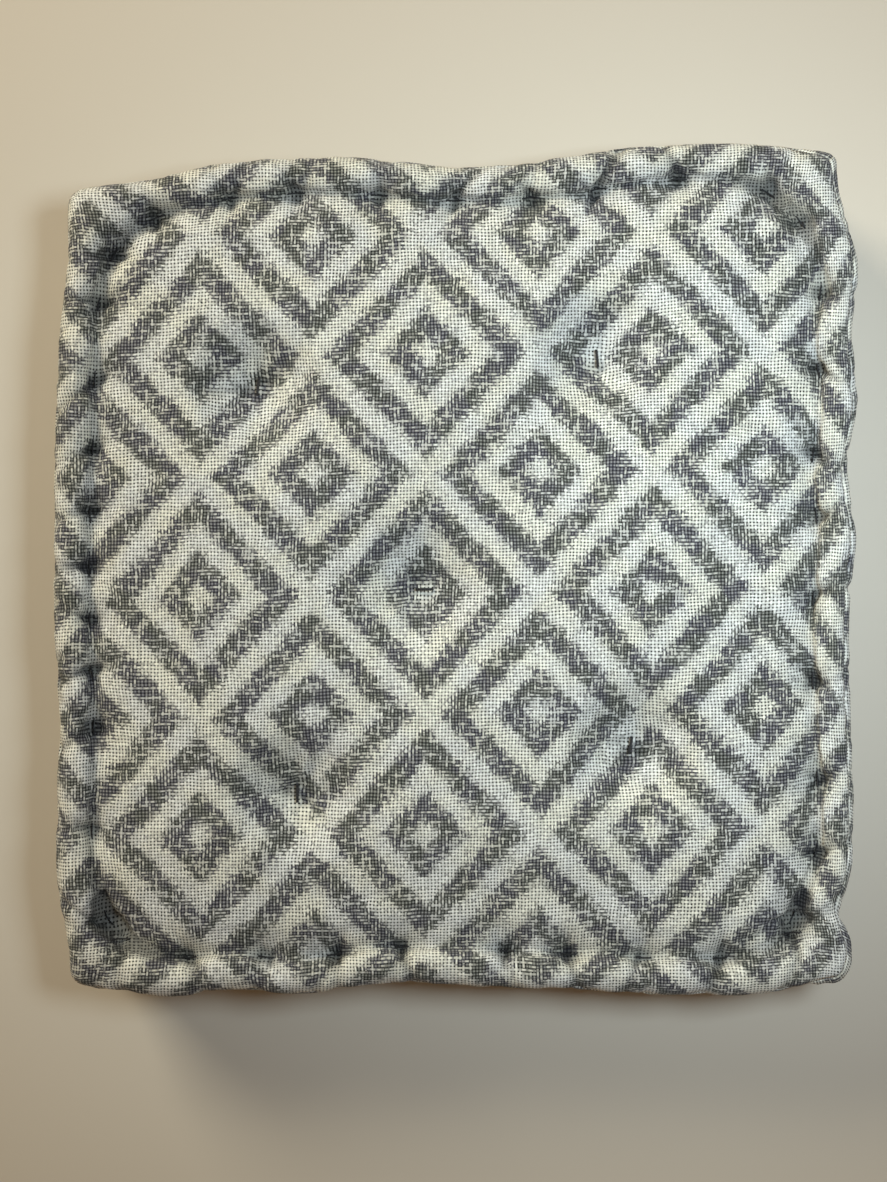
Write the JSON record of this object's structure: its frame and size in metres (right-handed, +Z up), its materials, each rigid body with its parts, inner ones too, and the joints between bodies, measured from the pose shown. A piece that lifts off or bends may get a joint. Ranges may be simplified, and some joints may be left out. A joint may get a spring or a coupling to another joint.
{
  "type": "floor cushion",
  "caption": "Square box floor cushion with hand-rolled edges, tufted through, in coarse cotton printed with concentric diamonds.",
  "frame": {"origin": "on the floor, under the middle of the cushion", "axes": "+Z up, +Y to the back along the longer side, +X to the right along the shorter side"},
  "size_m": [0.4982, 0.5262, 0.104],
  "materials": {
    "printed_cotton": "coarse basket-weave cotton, matt, printed in grey on cream",
    "waxed_thread": "black twisted sewing thread, slightly waxed",
    "cotton_wadding": "loose matt cotton wadding"
  },
  "bodies": {
    "root": {"top_panel": "printed_cotton", "bottom_panel": "printed_cotton", "front_boxing": "printed_cotton", "right_boxing": "printed_cotton", "back_boxing": "printed_cotton", "left_boxing": "printed_cotton", "top_front_edge_thread": "waxed_thread", "top_right_edge_thread": "waxed_thread", "top_back_edge_thread": "waxed_thread", "top_left_edge_thread": "waxed_thread", "bottom_front_edge_thread": "waxed_thread", "bottom_right_edge_thread": "waxed_thread", "bottom_back_edge_thread": "waxed_thread", "bottom_left_edge_thread": "waxed_thread", "upper_wadding": "cotton_wadding", "middle_wadding": "cotton_wadding", "lower_wadding": "cotton_wadding", "upper_roll_filling": "cotton_wadding", "lower_roll_filling": "cotton_wadding", "centre_tuft_tie": "waxed_thread", "back_left_tuft_tie": "waxed_thread", "back_right_tuft_tie": "waxed_thread", "front_left_tuft_tie": "waxed_thread", "front_right_tuft_tie": "waxed_thread"}
  },
  "joints": []
}
